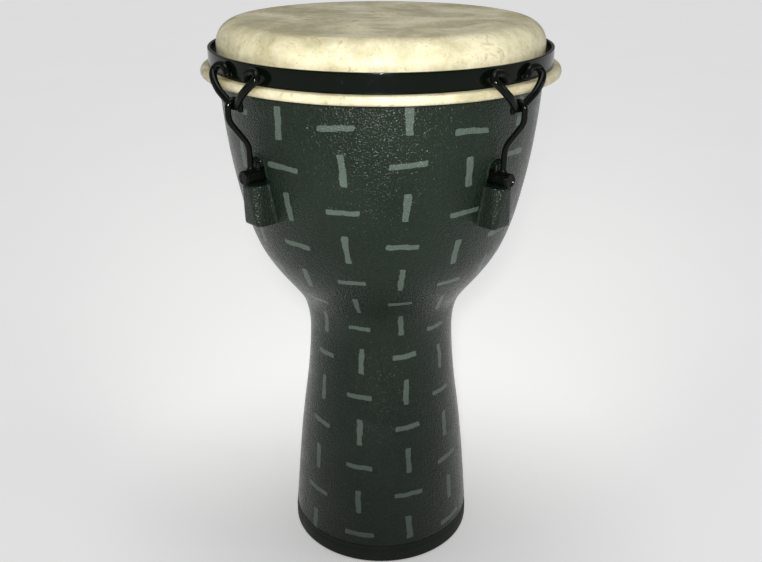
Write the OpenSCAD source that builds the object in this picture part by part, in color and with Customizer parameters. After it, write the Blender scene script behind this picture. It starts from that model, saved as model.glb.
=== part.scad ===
// Djembe with a screw-tensioned head.
// The goblet shell stands on a rubber foot ring. A film head is held down on the bearing edge by a
// counter hoop. At each tuning station a V hook on the hoop is drawn down by a rod, a barrel nut
// and a tuning bolt that turns inside a moulded boss.
// Origin: centre of the foot, on the floor. +Z up, -Y is the front.

/* [Shell] */
// Outer radius of the foot
foot_radius = 98; // [80:0.5:120]
// Outer radius of the waist
waist_radius = 74.5; // [60:0.5:90]
// Height of the waist
waist_height = 240; // [200:1:280]
// Outer radius of the rim
rim_radius = 153.3; // [130:0.1:180]
// Height of the bearing edge
bearing_height = 558.4; // [450:0.1:650]
// Radius of the rounded bearing edge
bearing_round = 20; // [10:0.5:25]
// Wall thickness
wall = 8; // [5:0.5:12]

/* [Print cover] */
// Thickness of the cloth
cloth = 0.8; // [0.5:0.1:1.5]
// Lower edge of the cloth
cloth_bottom = 20.3; // [15:0.1:40]
// Upper edge of the cloth
cloth_top = 514; // [500:0.5:516]

/* [Foot ring] */
// Height of the foot ring
foot_ring_height = 20; // [12:0.5:30]
// Thickness of the floor of the foot ring
foot_ring_floor = 4; // [2:0.5:8]
// Radius of the step in the shell that takes the ring
foot_step_radius = 94.2; // [90:0.1:96]
// Inner radius of the foot ring
foot_ring_bore = 88; // [80:0.5:92]

/* [Head] */
// Thickness of the head film
film = 0.8; // [0.4:0.1:1.2]
// Gap between the film and the shell
film_gap = 0.3; // [0.2:0.05:1]
// Underside of the flesh hoop wrap
flesh_bottom = 511; // [505:0.5:515]
// Top of the flesh hoop wrap
flesh_top = 519.2; // [515:0.1:525]
// Outer radius of the flesh hoop wrap
flesh_radius = 170.2; // [165:0.1:175]
// Inner radius of the flesh hoop wrap
flesh_bore = 157; // [155.5:0.1:160]
// Rounding of the flesh hoop wrap
flesh_round = 3.6; // [1:0.1:4]

/* [Counter hoop] */
// Outer radius of the hoop band
hoop_radius = 162.5; // [150:0.5:180]
// Thickness of the hoop band
hoop_band = 3; // [2:0.5:5]
// Height of the hoop band
hoop_height = 17.3; // [10:0.1:25]
// Running gap between the hoop and the flesh hoop wrap
hoop_gap = 0.1; // [0.05:0.05:0.3]

/* [Tuning stations] */
// Radius of the V hook rod
hook_rod = 3.4; // [2:0.1:4]
// Radius of the draw rod
draw_rod_radius = 2.75; // [2:0.05:4]
// Radius at which the V hook's point hangs
hook_point_radius = 170; // [166:0.5:174]
// Height of the V hook's point
hook_point_height = 499.5; // [490:0.5:505]
// Centre-line radius of the bend at the V hook's point
hook_bend = 6; // [4:0.5:10]
// Radius at which the V hook's arms pass the flesh hoop
hook_pass_radius = 174; // [172:0.1:178]
// Half of the spread of the V hook's arms
hook_spread = 31; // [20:0.5:40]
// Radius of the draw rod's lower leg
draw_leg_radius = 157; // [150:0.5:162]
// Height at which the draw rod bends outward
jog_start = 464; // [455:0.5:465]
// Angle of the draw rod's slanted stretch
jog_angle = 38; // [30:1:60]
// Length over which each bend of the draw rod is eased
jog_ease = 4; // [2:0.5:6]
// Height of the barrel nut's axis
barrel_height = 436; // [430:0.5:445]
// Radius of the barrel nut
barrel_radius = 6.4; // [5:0.1:8]
// Inner end of the barrel nut
barrel_inner = 141; // [139:0.5:145]
// Outer end of the barrel nut
barrel_outer = 166; // [160:0.5:170]
// Radius from the drum's axis to the tuning bolt
bolt_offset = 149; // [147:0.5:152]
// Radius of the tuning bolt's shank
bolt_radius = 3; // [2:0.5:4]
// Running clearance of the bolt
bolt_clearance = 0.08; // [0.02:0.01:0.1]
// Height of the bolt's tip
bolt_tip_height = 447.5; // [446:0.5:456]
// Width of the bolt's square head
key_square = 8; // [6:0.1:9]
// Radius of the bolt's flange
bolt_flange = 6.4; // [5:0.1:7]
// Thickness of the washer
washer_thickness = 1.4; // [0.8:0.1:2]

/* [Lug bosses] */
// Outer radius of the boss face
boss_face = 162.7; // [160:0.1:170]
// Width of the boss
boss_width = 20.4; // [18:0.2:30]
// Top of the boss
boss_top = 428; // [420:0.5:430]
// Bottom of the boss
boss_bottom = 391.5; // [375:0.5:395]
// Rounding of the boss's upright edges
boss_round = 9; // [2:0.5:10]
// Height over which the boss face leans inward towards its lower end
boss_slope = 36.5; // [5:0.5:36.5]
// How far the boss face leans inward at its lower end
boss_slope_depth = 3.4; // [1:0.1:10]
// Radius of the key well under the bolt's head
key_well_radius = 7.5; // [6:0.1:9]
// Height of the top of the key well
key_well_top = 405; // [395:0.5:415]
// Radius at the floor of the pocket behind the barrel nut
pocket_floor = 139.5; // [138:0.5:142]
// Half of the width of the pocket
pocket_half = 8.5; // [7:0.5:12]
// Height of the round top of the pocket
pocket_top = 453; // [448:0.5:460]

/* [Hidden] */
$fn = 96;
eps = 0.01;
steps = 6;
arc_steps = 10;
rod_facets = 20;
station_count = 4;
station_step = 360 / station_count;
front_right = 0;
back_right = 1;
back_left = 2;
front_left = 3;

shell_black = [0.13, 0.14, 0.13];
cloth_black = [0.17, 0.2, 0.18];
rubber_black = [0.08, 0.08, 0.08];
film_cream = [0.92, 0.89, 0.8];
steel_grey = [0.6, 0.6, 0.62];
hoop_black = [0.05, 0.05, 0.06];
rod_black = [0.07, 0.07, 0.08];
barrel_black = [0.1, 0.1, 0.11];
bolt_grey = [0.45, 0.45, 0.47];

// Stations of the shell's outline: height, radius, slope.
outline = [
    [0, foot_radius, -0.09],
    [waist_height * 2 / 3, waist_radius + 7.5, -0.15],
    [waist_height, waist_radius, -0.03],
    [waist_height + 35, waist_radius + 4.5, 0.29],
    [waist_height + 70, waist_radius + 27.5, 0.77],
    [waist_height + 110, waist_radius + 51.5, 0.39],
    [waist_height + 170, waist_radius + 67.5, 0.2],
    [508, rim_radius, 0.05]
];

// Smooth curve between two stations of the outline.
function curve_radius(a, b, t) =
    (2 * pow(t, 3) - 3 * pow(t, 2) + 1) * a[1]
    + (pow(t, 3) - 2 * pow(t, 2) + t) * (b[0] - a[0]) * a[2]
    + (3 * pow(t, 2) - 2 * pow(t, 3)) * b[1]
    + (pow(t, 3) - pow(t, 2)) * (b[0] - a[0]) * b[2];

function lerp(a, b, t) = a + (b - a) * t;

// Points up the outside of the shell, moved out by grow.
function side_points(grow) = [
    for (i = [0 : len(outline) - 2], k = [0 : steps - 1])
        let (a = outline[i], b = outline[i + 1], t = k / steps)
            [curve_radius(a, b, t) + grow * sqrt(1 + pow(lerp(a[2], b[2], t), 2)), lerp(a[0], b[0], t)]
];

function arc(centre, radius, from, to) = [
    for (k = [0 : arc_steps])
        let (angle = lerp(from, to, k / arc_steps))
            centre + radius * [cos(angle), sin(angle)]
];

function reversed(points) = [for (i = [len(points) - 1 : -1 : 0]) points[i]];

// A point given by its radius from the drum's axis, its distance round and its height.
function around(radius, along, height) =
    let (angle = along / radius * 180 / PI)
        [radius * cos(angle), radius * sin(angle), height];

module at_station(index) {
    rotate([0, 0, station_step * index - 45])
        children();
}

module at_every_station() {
    for (index = [0 : station_count - 1])
        at_station(index)
            children();
}

// A bent rod, as a chain of round-ended links.
module formed_rod(points, radius) {
    for (i = [0 : len(points) - 2])
        hull() {
            translate(points[i])
                sphere(r = radius, $fn = rod_facets);
            translate(points[i + 1])
                sphere(r = radius, $fn = rod_facets);
        }
}

// The outside of the drum's body as one solid, moved out by grow, without its lug bosses.
module goblet(grow) {
    rim = rim_radius + grow;
    rotate_extrude()
        polygon(concat(
            [[0, 0]],
            side_points(grow),
            [[rim, 508]],
            arc([rim - bearing_round, bearing_height - bearing_round], bearing_round, 0, 90),
            [[0, bearing_height]]
        ));
}

// The air space inside the shell, open at the bottom and at the head.
module air_space() {
    inside = side_points(-wall);
    rim_inside = rim_radius - bearing_round;
    rotate_extrude()
        polygon(concat(
            [[0, -1], [inside[0][0], -1]],
            inside,
            [[rim_radius - wall, 508], [rim_radius - wall, 528]],
            [[rim_inside - 2.5, bearing_height - 4], [rim_inside, bearing_height + 1]],
            [[0, bearing_height + 1]]
        ));
}

module boss_plan(grow) {
    face = boss_face + grow;
    half = boss_width / 2 + grow;
    root = waist_radius + 50;
    translate([root, -half])
        square([face - boss_round - root, 2 * half]);
    translate([root, boss_round - half])
        square([face - root, 2 * (half - boss_round)]);
    for (side = [-1, 1])
        translate([face - boss_round, side * (half - boss_round)])
            circle(r = boss_round);
}

module lug_boss(grow) {
    slope_angle = atan2(boss_slope_depth, boss_slope);
    difference() {
        translate([0, 0, boss_bottom - grow])
            linear_extrude(height = boss_top - boss_bottom + 2 * grow)
                boss_plan(grow);
        translate([boss_face + grow, 0, boss_bottom + boss_slope])
            rotate([0, slope_angle, 0])
                translate([0, -boss_width, -3 * boss_slope])
                    cube([3 * boss_slope, 2 * boss_width, 3 * boss_slope]);
    }
}

module barrel_pocket(floor_height) {
    round_height = pocket_top - pocket_half;
    translate([pocket_floor, -pocket_half, floor_height])
        cube([40, 2 * pocket_half, round_height - floor_height]);
    translate([pocket_floor, 0, round_height])
        rotate([0, 90, 0])
            cylinder(h = 40, r = pocket_half);
}

module bolt_way() {
    translate([bolt_offset, 0, boss_bottom - 10])
        cylinder(h = key_well_top - boss_bottom + 10, r = key_well_radius);
    translate([bolt_offset, 0, key_well_top - eps])
        cylinder(h = boss_top - key_well_top + 5, r = bolt_radius + bolt_clearance);
}

module shell() {
    color(shell_black)
        difference() {
            union() {
                goblet(0);
                at_every_station()
                    lug_boss(0);
            }
            air_space();
            at_every_station() {
                bolt_way();
                barrel_pocket(boss_top);
            }
            translate([0, 0, -1])
                cylinder(h = foot_ring_floor + 1, r = foot_radius + 5);
            difference() {
                translate([0, 0, -1])
                    cylinder(h = foot_ring_height + 1, r = foot_radius + 5);
                translate([0, 0, -2])
                    cylinder(h = foot_ring_height + 4, r = foot_step_radius);
            }
        }
}

module print_cover() {
    color(cloth_black)
        difference() {
            union() {
                intersection() {
                    goblet(cloth);
                    translate([0, 0, cloth_bottom])
                        cylinder(h = cloth_top - cloth_bottom, r = rim_radius + 5);
                }
                at_every_station()
                    lug_boss(cloth);
            }
            goblet(0);
            at_every_station() {
                lug_boss(0);
                bolt_way();
                barrel_pocket(boss_top + cloth);
            }
        }
}

module foot_ring() {
    outer = foot_radius;
    color(rubber_black)
        rotate_extrude()
            polygon([
                [foot_ring_bore, 0],
                [outer - 1, 0],
                [outer, 1],
                [outer, foot_ring_height / 2],
                [outer - 1, foot_ring_height],
                [foot_step_radius, foot_ring_height],
                [foot_step_radius, foot_ring_floor],
                [foot_ring_bore, foot_ring_floor]
            ]);
}

// Section of the flesh hoop with its wrap, moved in by inset.
function flesh_outline(inset) =
    let (
        low = flesh_bottom + inset,
        high = flesh_top - inset,
        inner = flesh_bore + inset,
        outer = flesh_radius - inset,
        round = flesh_round - inset
    )
        concat(
            [[inner, low]],
            arc([outer - round, low + round], round, -90, 0),
            arc([outer - round, high - round], round, 0, 90),
            [[inner, high]]
        );

module flesh_hoop() {
    color(steel_grey)
        rotate_extrude()
            polygon(flesh_outline(film));
}

module head_film() {
    collar = rim_radius + film_gap + 0.1;
    top = bearing_height + film_gap;
    round = bearing_round + 0.1;
    color(film_cream) {
        rotate_extrude()
            difference() {
                union() {
                    polygon(concat(
                        [[0, top - round], [collar + film, flesh_top - film]],
                        arc([collar - round, top - round], round + film, 0, 90),
                        [[0, top + film]]
                    ));
                    polygon(flesh_outline(0));
                    polygon([
                        [collar, flesh_top - film],
                        [flesh_bore + 2, flesh_top - film],
                        [flesh_bore + 2, flesh_top],
                        [flesh_bore, flesh_top],
                        [collar + film + 0.6, flesh_top + 1],
                        [collar + film, flesh_top + 3]
                    ]);
                }
                polygon(concat(
                    [[-1, flesh_bottom], [collar, flesh_top - 3 * film]],
                    arc([collar - round, top - round], round, 0, 90),
                    [[-1, top]]
                ));
                polygon(flesh_outline(film));
                translate([collar - 1, flesh_bottom - 1])
                    square([flesh_bore + film - collar + 1, flesh_top - film - flesh_bottom + 1]);
            }
    }
}

module counter_hoop() {
    color(hoop_black)
        translate([0, 0, flesh_top + hoop_gap])
            difference() {
                cylinder(h = hoop_height, r = hoop_radius);
                translate([0, 0, -1])
                    cylinder(h = hoop_height + 2, r = hoop_radius - hoop_band);
            }
}

// Points of one arm of the V hook, from its point to its welded end on the hoop's face.
function hook_arm(side) =
    let (
        face = hoop_radius + hook_rod,
        point = hook_point_radius,
        base = hook_point_height,
        lift = flesh_top + hook_rod
    ) [
        around(point, 0, base),
        around(point, side * hook_bend * sin(25), base + hook_bend * (1 - cos(25))),
        around(point + 0.4, side * hook_bend * sin(48), base + hook_bend * (1 - cos(48))),
        around(hook_pass_radius, side * 16.5, flesh_bottom + 1),
        around(hook_pass_radius, side * (hook_spread - 7), flesh_top - 0.6),
        around(hook_pass_radius - 1.4, side * (hook_spread - 1.8), lift + 1),
        around(hook_pass_radius - 4, side * hook_spread, lift + 4.4),
        around(face + 1.5, side * (hook_spread - 3), lift + 8),
        around(face, side * (hook_spread - 9), lift + 9),
        around(face, side * (hook_spread - 15), lift + 7),
        around(face, side * (hook_spread - 18), lift + 1.5)
    ];

module v_hook(index) {
    color(rod_black)
        at_station(index)
            for (side = [-1, 1])
                formed_rod(hook_arm(side), hook_rod);
}

module draw_rod(index) {
    crook = hook_rod + draw_rod_radius + 0.05;
    inner = hook_point_radius - crook;
    outer = hook_point_radius + crook;
    leg = draw_leg_radius;
    jog_end = jog_start + (outer - leg) / tan(jog_angle);
    ease = jog_ease * [sin(jog_angle), 0, cos(jog_angle)];
    vertex = crook / cos(22.5);
    color(rod_black)
        at_station(index)
            formed_rod(concat(
                [[inner, 0, hook_point_height - 4]],
                [for (angle = [157.5 : -45 : 22.5])
                    [hook_point_radius + vertex * cos(angle), 0, hook_point_height + vertex * sin(angle)]],
                [
                    [outer, 0, jog_end + jog_ease],
                    [outer, 0, jog_end] - ease,
                    [leg, 0, jog_start] + ease,
                    [leg, 0, jog_start - jog_ease],
                    [leg, 0, barrel_height]
                ]
            ), draw_rod_radius);
}

module barrel_nut(index) {
    chamfer = 0.8;
    length = barrel_outer - barrel_inner;
    color(barrel_black)
        at_station(index)
            difference() {
                translate([barrel_inner, 0, barrel_height])
                    rotate([0, 90, 0])
                        rotate_extrude()
                            polygon([
                                [0, 0],
                                [barrel_radius - chamfer, 0],
                                [barrel_radius, chamfer],
                                [barrel_radius, length - chamfer],
                                [barrel_radius - chamfer, length],
                                [3.6, length],
                                [3, length - 0.8],
                                [0, length - 0.8]
                            ]);
                translate([draw_leg_radius, 0, barrel_height - 10])
                    cylinder(h = 20, r = draw_rod_radius);
                translate([bolt_offset, 0, barrel_height - 10])
                    cylinder(h = 20, r = bolt_radius + bolt_clearance);
            }
}

module tuning_bolt(index) {
    seat = key_well_top - washer_thickness - 0.1;
    flange = 1.8;
    head = 8;
    color(bolt_grey)
        at_station(index)
            translate([bolt_offset, 0, 0]) {
                rotate_extrude()
                    polygon([
                        [0, seat - flange - 1],
                        [key_square / 2, seat - flange - 1],
                        [bolt_flange - 0.8, seat - flange],
                        [bolt_flange, seat - flange + 0.5],
                        [bolt_flange, seat],
                        [bolt_radius, seat],
                        [bolt_radius, bolt_tip_height - 0.8],
                        [bolt_radius - 0.8, bolt_tip_height],
                        [0, bolt_tip_height]
                    ]);
                translate([-key_square / 2, -key_square / 2, seat - flange - head])
                    cube([key_square, key_square, head]);
            }
}

module bolt_washer(index) {
    color(steel_grey)
        at_station(index)
            translate([bolt_offset, 0, key_well_top - washer_thickness])
                difference() {
                    cylinder(h = washer_thickness, r = key_well_radius - 0.5);
                    translate([0, 0, -1])
                        cylinder(h = washer_thickness + 2, r = bolt_radius + 0.3);
                }
}

shell();
print_cover();
foot_ring();
flesh_hoop();
head_film();
counter_hoop();
v_hook(front_right);  // v_hook_front_right
v_hook(back_right);  // v_hook_back_right
v_hook(back_left);  // v_hook_back_left
v_hook(front_left);  // v_hook_front_left
draw_rod(front_right);  // draw_rod_front_right
draw_rod(back_right);  // draw_rod_back_right
draw_rod(back_left);  // draw_rod_back_left
draw_rod(front_left);  // draw_rod_front_left
barrel_nut(front_right);  // barrel_nut_front_right
barrel_nut(back_right);  // barrel_nut_back_right
barrel_nut(back_left);  // barrel_nut_back_left
barrel_nut(front_left);  // barrel_nut_front_left
tuning_bolt(front_right);  // tuning_bolt_front_right
tuning_bolt(back_right);  // tuning_bolt_back_right
tuning_bolt(back_left);  // tuning_bolt_back_left
tuning_bolt(front_left);  // tuning_bolt_front_left
bolt_washer(front_right);  // bolt_washer_front_right
bolt_washer(back_right);  // bolt_washer_back_right
bolt_washer(back_left);  // bolt_washer_back_left
bolt_washer(front_left);  // bolt_washer_front_left
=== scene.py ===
"""Djembe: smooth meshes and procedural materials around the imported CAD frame. Metres, +Z up, -Y front."""

import math

import bpy
import numpy as np
from mathutils import Matrix, Vector


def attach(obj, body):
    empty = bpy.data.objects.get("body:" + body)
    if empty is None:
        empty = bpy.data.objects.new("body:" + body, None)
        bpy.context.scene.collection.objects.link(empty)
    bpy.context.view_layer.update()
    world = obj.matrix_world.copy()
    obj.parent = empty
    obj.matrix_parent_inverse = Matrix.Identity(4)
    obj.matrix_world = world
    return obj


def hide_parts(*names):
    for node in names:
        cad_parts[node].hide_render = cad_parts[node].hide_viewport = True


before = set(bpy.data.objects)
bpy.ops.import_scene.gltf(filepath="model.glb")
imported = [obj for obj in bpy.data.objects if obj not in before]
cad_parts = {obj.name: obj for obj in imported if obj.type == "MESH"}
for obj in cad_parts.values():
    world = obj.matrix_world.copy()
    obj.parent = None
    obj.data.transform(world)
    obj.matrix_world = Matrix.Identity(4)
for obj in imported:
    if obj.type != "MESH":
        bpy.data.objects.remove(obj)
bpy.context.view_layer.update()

MM = 0.001
STATIONS = {"front_right": -45.0, "back_right": 45.0, "back_left": 135.0, "front_left": 225.0}

# Outline stations of the shell: height, radius, slope (mm).
OUTLINE = (
    (0.0, 98.0, -0.09),
    (160.0, 82.0, -0.15),
    (240.0, 74.5, -0.03),
    (275.0, 79.0, 0.29),
    (310.0, 102.0, 0.77),
    (350.0, 126.0, 0.39),
    (410.0, 142.0, 0.2),
    (508.0, 153.3, 0.05),
)
# The cover, its bosses and pockets, the bolts and the head (mm).
RIM_RADIUS = 153.3
CLOTH = 0.8
CLOTH_BOTTOM = 20.4
CLOTH_TOP = 514.0
BOSS_FACE = 163.5
BOSS_HALF = 11.0
BOSS_ROUND = 9.8
BOSS_TOP = 428.8
BOSS_BOTTOM = 390.7
BOSS_LEAN = 3.5
BOLT_OFFSET = 149.0
WELL_RADIUS = 7.5
POCKET_FLOOR = 140.3
POCKET_HALF = 8.3
POCKET_ROUND_HEIGHT = 444.5
HEAD_TOP, HEAD_UNDER = 559.5, 558.7
FLESH_TOP = 519.2
HOOP_RADIUS = 162.5
# The radius at which distances across a boss are measured.
BOSS_ARC = 150.0


# ---------------------------------------------------------------- camera, light, floor


def add_camera():
    """The photograph's view: a little right of the front, pitched down."""
    azimuth, pitch, distance, height = 2.1, 23.3, 0.872, 0.665
    turn = math.radians(azimuth)
    data = bpy.data.cameras.new("camera")
    data.sensor_width = 36.0
    data.lens = 42.4252
    data.clip_start = 0.01
    data.clip_end = 30.0
    camera = bpy.data.objects.new("camera", data)
    camera.location = (distance * math.sin(turn), -distance * math.cos(turn), height)
    camera.rotation_euler = (math.radians(90.0 - pitch), 0.0, turn)
    bpy.context.scene.collection.objects.link(camera)
    bpy.context.scene.camera = camera


def add_area(name, location, target, size, power):
    """A round white area light, aimed at a point."""
    data = bpy.data.lights.new(name, "AREA")
    data.shape = "DISK"
    data.size = size
    data.energy = power
    lamp = bpy.data.objects.new(name, data)
    lamp.location = location
    aim = Vector(target) - Vector(location)
    lamp.rotation_euler = aim.to_track_quat("-Z", "Y").to_euler()
    bpy.context.scene.collection.objects.link(lamp)


def add_flash():
    """A snapshot flash over the lens, narrowed to the drum."""
    data = bpy.data.lights.new("flash", "SPOT")
    data.energy = 40.0
    data.color = (1.0, 0.985, 0.94)
    data.shadow_soft_size = 0.03
    data.spot_size = math.radians(50.0)
    data.spot_blend = 1.0
    lamp = bpy.data.objects.new("flash", data)
    lamp.location = (0.02, -0.93, 0.735)
    lamp.rotation_euler = (Vector((0, 0, 0.43)) - Vector(lamp.location)).to_track_quat("-Z", "Y").to_euler()
    bpy.context.scene.collection.objects.link(lamp)


def add_lights():
    """A flash close to the camera, a soft overhead sun for the paper floor, and weak side fills."""
    add_flash()
    add_area("left", (-1.6, -0.5, 1.1), (0, 0, 0.3), 0.5, 0.8)
    add_area("right", (1.7, -0.3, 0.9), (0, 0, 0.3), 0.5, 2.2)
    sun = bpy.data.lights.new("overhead", "SUN")
    sun.energy = 1.2
    sun.angle = math.radians(40.0)
    lamp = bpy.data.objects.new("overhead", sun)
    lamp.location = (0, 0, 3)
    bpy.context.scene.collection.objects.link(lamp)
    world = bpy.data.worlds.new("studio")
    world.use_nodes = True
    background = world.node_tree.nodes["Background"]
    background.inputs["Color"].default_value = (1.0, 1.0, 1.0, 1.0)
    background.inputs["Strength"].default_value = 0.2
    scene = bpy.context.scene
    scene.world = world
    scene.view_settings.view_transform = "Standard"


# ---------------------------------------------------------------- mesh helpers


def new_object(name, verts, faces, material, sharp=40.0, uvs=None):
    """A mesh object, shaded smooth except along edges over an angle (degrees)."""
    mesh = bpy.data.meshes.new(name)
    mesh.from_pydata([tuple(float(c) for c in v) for v in verts], [], faces)
    mesh.validate()
    if uvs is not None:
        layer = mesh.uv_layers.new(name="print")
        layer.data.foreach_set("uv", np.asarray(uvs, np.float32).ravel())
    mesh.update()
    obj = bpy.data.objects.new(name, mesh)
    bpy.context.scene.collection.objects.link(obj)
    obj.data.materials.append(material)
    mesh.polygons.foreach_set("use_smooth", [True] * len(mesh.polygons))
    mesh.set_sharp_from_angle(angle=math.radians(sharp))
    return obj


def finish_piece(obj, body, slot, *nodes):
    """Puts a piece on its body and hides the CAD nodes it stands for. The slot argument is not used."""
    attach(obj, body)
    if nodes:
        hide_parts(*nodes)
    return obj


def lathe_rows(profile, count, ripple=None):
    """Vertices and faces of a closed (radius, height) profile in mm, turned round Z."""
    verts, faces = [], []
    rows = len(profile)
    for i in range(count):
        angle = 2 * math.pi * i / count
        for k, (radius, height) in enumerate(profile):
            r = radius + (ripple(angle, radius, height) if ripple else 0.0)
            verts.append((r * math.cos(angle) * MM, r * math.sin(angle) * MM, height * MM))
    for i in range(count):
        j = (i + 1) % count
        for k in range(rows):
            m = (k + 1) % rows
            faces.append((i * rows + k, j * rows + k, j * rows + m, i * rows + m))
    return verts, faces


def arc_points(cx, cz, radius, start, end, count):
    """Points along an arc (degrees) in a (radius, height) profile."""
    return [
        (
            cx + radius * math.cos(math.radians(start + (end - start) * i / count)),
            cz + radius * math.sin(math.radians(start + (end - start) * i / count)),
        )
        for i in range(count + 1)
    ]


def round_path(points, ease, steps=6):
    """A polyline with each inner corner turned into a short curve."""
    pts = [Vector(p) for p in points]
    out = [pts[0]]
    for a, b, c in zip(pts, pts[1:], pts[2:]):
        before, after = (a - b), (c - b)
        cut = min(ease, 0.48 * before.length, 0.48 * after.length)
        p, q = b + before.normalized() * cut, b + after.normalized() * cut
        for i in range(steps + 1):
            t = i / steps
            out.append(p * (1 - t) ** 2 + b * 2 * t * (1 - t) + q * t * t)
    out.append(pts[-1])
    return out


def tube(points, radius, sides):
    """A closed tube along points (mm), with domed ends. Returns verts (m) and faces."""
    pts = [points[0]]
    for p in points[1:]:
        if (p - pts[-1]).length > 0.05:
            pts.append(p)
    tangents = []
    for i in range(len(pts)):
        a, b = pts[max(i - 1, 0)], pts[min(i + 1, len(pts) - 1)]
        tangents.append((b - a).normalized())
    up = Vector((0, 0, 1)) if abs(tangents[0].z) < 0.9 else Vector((1, 0, 0))
    side = tangents[0].cross(up).normalized()
    rings = []

    def ring(centre, r):
        normal = side.cross(tangent).normalized()
        rings.append(
            [
                centre
                + (side * math.cos(2 * math.pi * k / sides) + normal * math.sin(2 * math.pi * k / sides)) * r
                for k in range(sides)
            ]
        )

    for i, (p, tangent) in enumerate(zip(pts, tangents)):
        side = (side - tangent * side.dot(tangent)).normalized()
        if i == 0:
            for angle in (75, 50, 25):
                a = math.radians(angle)
                ring(p - tangent * radius * 0.6 * math.sin(a), radius * math.cos(a))
        ring(p, radius)
        if i == len(pts) - 1:
            for angle in (25, 50, 75):
                a = math.radians(angle)
                ring(p + tangent * radius * 0.6 * math.sin(a), radius * math.cos(a))
    verts = [tuple(v * MM) for r in rings for v in r]
    faces = []
    for i in range(len(rings) - 1):
        for k in range(sides):
            m = (k + 1) % sides
            a, b = i * sides, (i + 1) * sides
            faces.append((a + k, a + m, b + m, b + k))
    faces.append(tuple(range(sides))[::-1])
    faces.append(tuple((len(rings) - 1) * sides + k for k in range(sides)))
    return verts, faces


def joined(*parts):
    """Several (vertices, faces) pairs as one."""
    verts, faces = [], []
    for v, f in parts:
        base = len(verts)
        verts += list(v)
        faces += [tuple(i + base for i in face) for face in f]
    return verts, faces


def moved(part, matrix):
    verts, faces = part
    return [tuple(matrix @ Vector(v)) for v in verts], faces


def station_matrix(name):
    """The turn that brings the +X axis to a tuning station."""
    return Matrix.Rotation(math.radians(STATIONS[name]), 4, "Z")


def around(radius, along, height):
    """A point in a station's own frame (mm): radius from the axis, distance round, height."""
    angle = along / radius
    return Vector((radius * math.cos(angle), radius * math.sin(angle), height))


def lathe_part(profile, count, matrix=None):
    """A turned profile, moved if a matrix is given."""
    part = lathe_rows(profile, count)
    return moved(part, matrix) if matrix is not None else part


# ---------------------------------------------------------------- node helpers


class Shader:
    """Short names for the nodes of one material."""

    def __init__(self, name):
        self.material = bpy.data.materials.new(name)
        self.material.use_nodes = True
        self.tree = self.material.node_tree
        self.bsdf = self.tree.nodes["Principled BSDF"]

    def node(self, kind, **settings):
        node = self.tree.nodes.new(kind)
        for key, value in settings.items():
            setattr(node, key, value)
        return node

    def put(self, socket, value):
        if isinstance(value, bpy.types.NodeSocket):
            self.tree.links.new(value, socket)
        elif value is not None:
            socket.default_value = value

    def math(self, operation, a, b=None, c=None):
        node = self.node("ShaderNodeMath", operation=operation)
        for socket, value in zip(node.inputs, (a, b, c)):
            self.put(socket, value)
        return node.outputs[0]

    def step(self, value, low, high, to_low=0.0, to_high=1.0):
        node = self.node("ShaderNodeMapRange", interpolation_type="SMOOTHSTEP")
        for key, v in (
            ("Value", value),
            ("From Min", low),
            ("From Max", high),
            ("To Min", to_low),
            ("To Max", to_high),
        ):
            self.put(node.inputs[key], v)
        return node.outputs[0]

    @staticmethod
    def rgba(value):
        """A colour socket as it is, or an RGB tuple with full alpha."""
        return value if isinstance(value, bpy.types.NodeSocket) else (*value, 1.0)

    def mix(self, factor, a, b):
        node = self.node("ShaderNodeMix", data_type="RGBA")
        self.put(node.inputs[0], factor)
        self.put(node.inputs[6], self.rgba(a))
        self.put(node.inputs[7], self.rgba(b))
        return node.outputs[2]

    def position(self):
        return self.node("ShaderNodeTexCoord").outputs["Object"]

    def combine(self, x, y, z=0.0):
        node = self.node("ShaderNodeCombineXYZ")
        for socket, value in zip(node.inputs, (x, y, z)):
            self.put(socket, value)
        return node.outputs[0]

    def noise(self, vector, scale, detail=3.0, rough=0.5, colour=False, distortion=0.0):
        node = self.node("ShaderNodeTexNoise")
        self.put(node.inputs["Vector"], vector)
        node.inputs["Scale"].default_value = scale
        node.inputs["Detail"].default_value = detail
        node.inputs["Roughness"].default_value = rough
        node.inputs["Distortion"].default_value = distortion
        return node.outputs["Color" if colour else "Fac"]

    def cells(self, vector, scale):
        node = self.node("ShaderNodeTexVoronoi")
        self.put(node.inputs["Vector"], vector)
        node.inputs["Scale"].default_value = scale
        return node

    def hashed(self, vector):
        node = self.node("ShaderNodeTexWhiteNoise", noise_dimensions="3D")
        self.put(node.inputs["Vector"], vector)
        split = self.node("ShaderNodeSeparateColor")
        self.put(split.inputs[0], node.outputs["Color"])
        return split.outputs[0], split.outputs[1], split.outputs[2]

    def bump(self, height, strength, distance, normal=None):
        node = self.node("ShaderNodeBump")
        node.inputs["Strength"].default_value = strength
        node.inputs["Distance"].default_value = distance
        self.put(node.inputs["Height"], height)
        if normal is not None:
            self.put(node.inputs["Normal"], normal)
        return node.outputs[0]

    def finish(self, colour, roughness, normal=None, metallic=0.0, **constants):
        self.put(self.bsdf.inputs["Base Color"], self.rgba(colour))
        self.put(self.bsdf.inputs["Roughness"], roughness)
        self.bsdf.inputs["Metallic"].default_value = metallic
        if normal is not None:
            self.put(self.bsdf.inputs["Normal"], normal)
        for key, value in constants.items():
            self.bsdf.inputs[key.replace("_", " ")].default_value = value
        return self.material


# ---------------------------------------------------------------- materials

CELL_WIDTH = 51.0
CELL_HEIGHT = 79.0


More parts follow.
